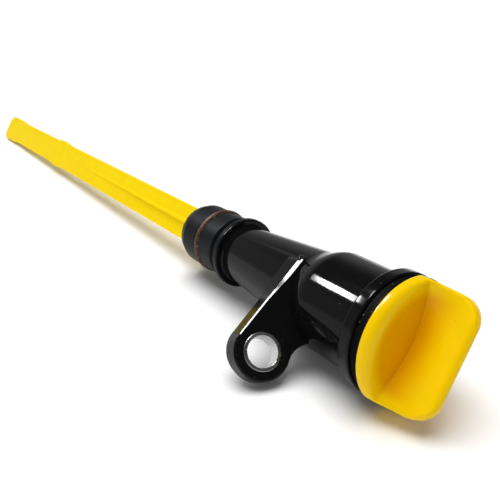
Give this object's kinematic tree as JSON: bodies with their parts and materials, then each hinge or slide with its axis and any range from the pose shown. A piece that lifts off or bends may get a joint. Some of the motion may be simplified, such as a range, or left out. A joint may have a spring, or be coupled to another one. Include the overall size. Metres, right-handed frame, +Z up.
{
  "type": "engine oil dipstick",
  "caption": "Yellow twist cap and flat measuring blade in a black moulded oil filler neck with spigot, O-ring and fixing ear, lying on its side.",
  "frame": {"origin": "centre of the part's box in plan, on the surface that it lies on", "axes": "+Z up, +X along the length from the blade's tip towards the cap, the ear on the -Y side"},
  "size_m": [0.3281, 0.0514, 0.0356],
  "materials": {
    "black_moulding": "glossy moulded polyamide",
    "bush_steel": "turned and zinc plated",
    "brown_rubber": "satin rubber",
    "yellow_cap": "satin gloss moulded plastic",
    "black_rubber": "matte rubber",
    "yellow_blade": "satin moulded plastic"
  },
  "bodies": {
    "neck": {"filler_neck": "black_moulding", "mounting_bush": "bush_steel", "spigot_o_ring": "brown_rubber"},
    "stick": {"dipstick_blade": "yellow_blade"},
    "cap": {"twist_cap": "yellow_cap", "cap_seal": "black_rubber"}
  },
  "joints": [
    {"name": "pull_out", "type": "slide", "parent": "neck", "child": "stick", "axis": [0.9993, 0, 0.0373], "range_m": [0, 0.315]},
    {"name": "cap_turn", "type": "hinge", "parent": "stick", "child": "cap", "pos_m": [0.14749, 0.0079, 0.01779], "axis": [-0.9993, 0, -0.0373], "range_deg": [0, 90]}
  ]
}
